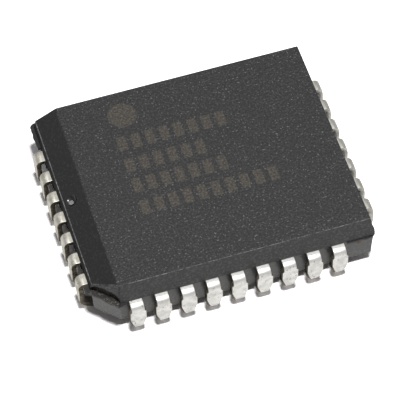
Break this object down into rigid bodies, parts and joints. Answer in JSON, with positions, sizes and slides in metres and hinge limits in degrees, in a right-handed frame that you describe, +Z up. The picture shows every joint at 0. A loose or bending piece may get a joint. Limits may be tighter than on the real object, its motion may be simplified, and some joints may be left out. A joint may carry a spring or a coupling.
{
  "type": "plastic leaded chip carrier",
  "caption": "Rectangular moulded chip package with J-shaped leads along every side, a bevelled pin-one end, a cut corner and a dimple, made to be soldered flat or pressed into a socket.",
  "frame": {"origin": "on the seating plane, under the middle of the body", "axes": "+X along the body away from the pin-one end, +Z up out of the printed face"},
  "size_m": [0.015, 0.0124, 0.0035],
  "materials": {
    "mould_compound": "matte black moulded epoxy with a fine grain",
    "tin_plate": "satin tin plate",
    "frame_copper": "bare copper alloy, stamped",
    "silver_epoxy": "silver filled epoxy",
    "silicon": "polished silicon",
    "gold_wire": "bright drawn gold wire"
  },
  "bodies": {
    "root": {"body": "mould_compound", "die_pad": "frame_copper", "die_attach": "silver_epoxy", "die": "silicon", "bond_wires": "gold_wire", "lead_01": "tin_plate", "lead_02": "tin_plate", "lead_03": "tin_plate", "lead_04": "tin_plate", "lead_05": "tin_plate", "lead_06": "tin_plate", "lead_07": "tin_plate", "lead_08": "tin_plate", "lead_09": "tin_plate", "lead_10": "tin_plate", "lead_11": "tin_plate", "lead_12": "tin_plate", "lead_13": "tin_plate", "lead_14": "tin_plate", "lead_15": "tin_plate", "lead_16": "tin_plate", "lead_17": "tin_plate", "lead_18": "tin_plate", "lead_19": "tin_plate", "lead_20": "tin_plate", "lead_21": "tin_plate", "lead_22": "tin_plate", "lead_23": "tin_plate", "lead_24": "tin_plate", "lead_25": "tin_plate", "lead_26": "tin_plate", "lead_27": "tin_plate", "lead_28": "tin_plate", "lead_29": "tin_plate", "lead_30": "tin_plate", "lead_31": "tin_plate", "lead_32": "tin_plate"}
  },
  "joints": []
}
